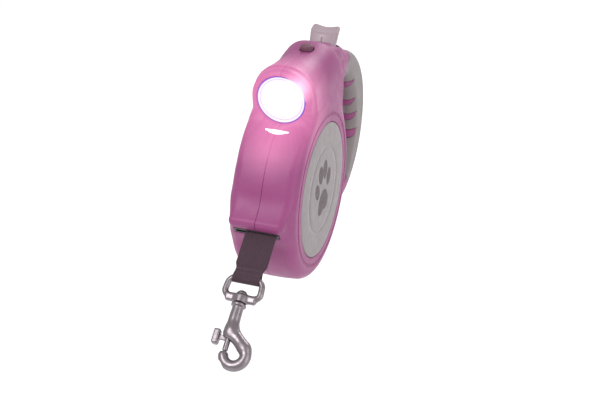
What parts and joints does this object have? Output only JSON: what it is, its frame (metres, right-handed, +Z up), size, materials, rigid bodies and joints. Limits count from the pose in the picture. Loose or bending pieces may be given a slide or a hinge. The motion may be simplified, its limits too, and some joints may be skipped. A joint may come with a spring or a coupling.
{
  "type": "retractable dog leash",
  "caption": "Hand-held retractable tape leash with a round spool housing, ring handle, thumb brake, built-in torch and a swivel snap hook.",
  "frame": {"origin": "middle of the handle's grip bar, where the palm closes; the leash is held there", "axes": "+X along the spool's axle, towards the right-hand badge; -Y forward, the way the torch shines and the tape leaves; +Z up"},
  "size_m": [0.0364, 0.2185, 0.126],
  "materials": {
    "pink_plastic": "satin moulded ABS",
    "grip_rubber": "matt soft-touch overmould",
    "badge_white": "satin sheet",
    "lens_clear": "polished",
    "window_clear": "polished",
    "dark_rubber": "matt",
    "reflector_chrome": "vacuum metallised",
    "board_green": "solder mask",
    "led_yellow": "phosphor dome",
    "cell_steel": "bright",
    "black_plastic": "moulded",
    "contact_brass": "bright",
    "switch_rubber": "matt",
    "bright_steel": "zinc plated",
    "natural_plastic": "natural acetal",
    "spring_steel": "blued",
    "webbing": "woven",
    "thread": "twisted",
    "button_grey": "satin",
    "nickel": "nickel plated, satin"
  },
  "bodies": {
    "housing": {"shell_right": "pink_plastic", "shell_left": "pink_plastic", "grip_sleeve": "grip_rubber", "badge_right": "badge_white", "badge_left": "badge_white", "torch_lens": "lens_clear", "lens_gasket": "dark_rubber", "torch_reflector": "reflector_chrome", "led_board": "board_green", "led_emitter": "led_yellow", "glow_window": "window_clear", "button_cells": "cell_steel", "cell_holder": "black_plastic", "cell_contacts": "contact_brass", "switch_module": "black_plastic", "spool_axle": "bright_steel", "shell_screws": "bright_steel", "tape_guide": "black_plastic", "mainspring": "spring_steel", "brake_spring": "spring_steel"},
    "spool": {"spool_drum": "natural_plastic", "ratchet_wheel": "natural_plastic", "tape_roll": "webbing", "spring_cup": "natural_plastic", "spring_lid": "natural_plastic"},
    "tape_end": {"tape": "webbing", "tape_stitches": "thread"},
    "eye": {"swivel_eye": "nickel"},
    "hook": {"snap_hook": "nickel", "swivel_rivet": "nickel", "bolt_spring": "spring_steel"},
    "bolt": {"snap_bolt": "nickel"},
    "brake": {"brake_button": "button_grey", "brake_pawl": "natural_plastic"},
    "light_switch": {"switch_cap": "switch_rubber"},
    "cell_door": {"battery_door": "pink_plastic"}
  },
  "joints": [
    {"name": "spool_spin", "type": "hinge", "parent": "housing", "child": "spool", "pos_m": [0, -0.0904, -0.0095], "axis": [1, 0, 0], "range_deg": [0, 75], "stiffness_Nm_per_rad": 0.03, "springref_deg": -114.59},
    {"name": "tape_pull", "type": "slide", "parent": "housing", "child": "tape_end", "axis": [0, -0.829, -0.5592], "range_m": [0, 0.041]},
    {"name": "eye_swing", "type": "hinge", "parent": "tape_end", "child": "eye", "pos_m": [0.0025, -0.16604, -0.02236], "axis": [1, 0, 0], "range_deg": [-70, 80]},
    {"name": "hook_swivel", "type": "hinge", "parent": "eye", "child": "hook", "pos_m": [0.0025, -0.16604, -0.02236], "axis": [0, -0.829, -0.5592], "continuous": true},
    {"name": "bolt_slide", "type": "slide", "parent": "hook", "child": "bolt", "axis": [0, 0.829, 0.5592], "range_m": [0, 0.008], "stiffness_N_per_m": 250, "springref_m": -0.004, "deforming": ["bolt_spring"]},
    {"name": "brake_press", "type": "slide", "parent": "housing", "child": "brake", "axis": [0, 0, -1], "range_m": [0, 0.004], "stiffness_N_per_m": 900, "springref_m": -0.002, "deforming": ["brake_spring"]},
    {"name": "light_press", "type": "slide", "parent": "housing", "child": "light_switch", "axis": [0, 0, -1], "range_m": [0, 0.0009], "stiffness_N_per_m": 800, "springref_m": -0.0006},
    {"name": "door_off", "type": "slide", "parent": "housing", "child": "cell_door", "axis": [-1, 0, 0], "range_m": [0, 0.012]}
  ],
  "couplings": [
    {"joint": "tape_pull", "follows": "spool_spin", "m_per_rad": 0.03115}
  ]
}
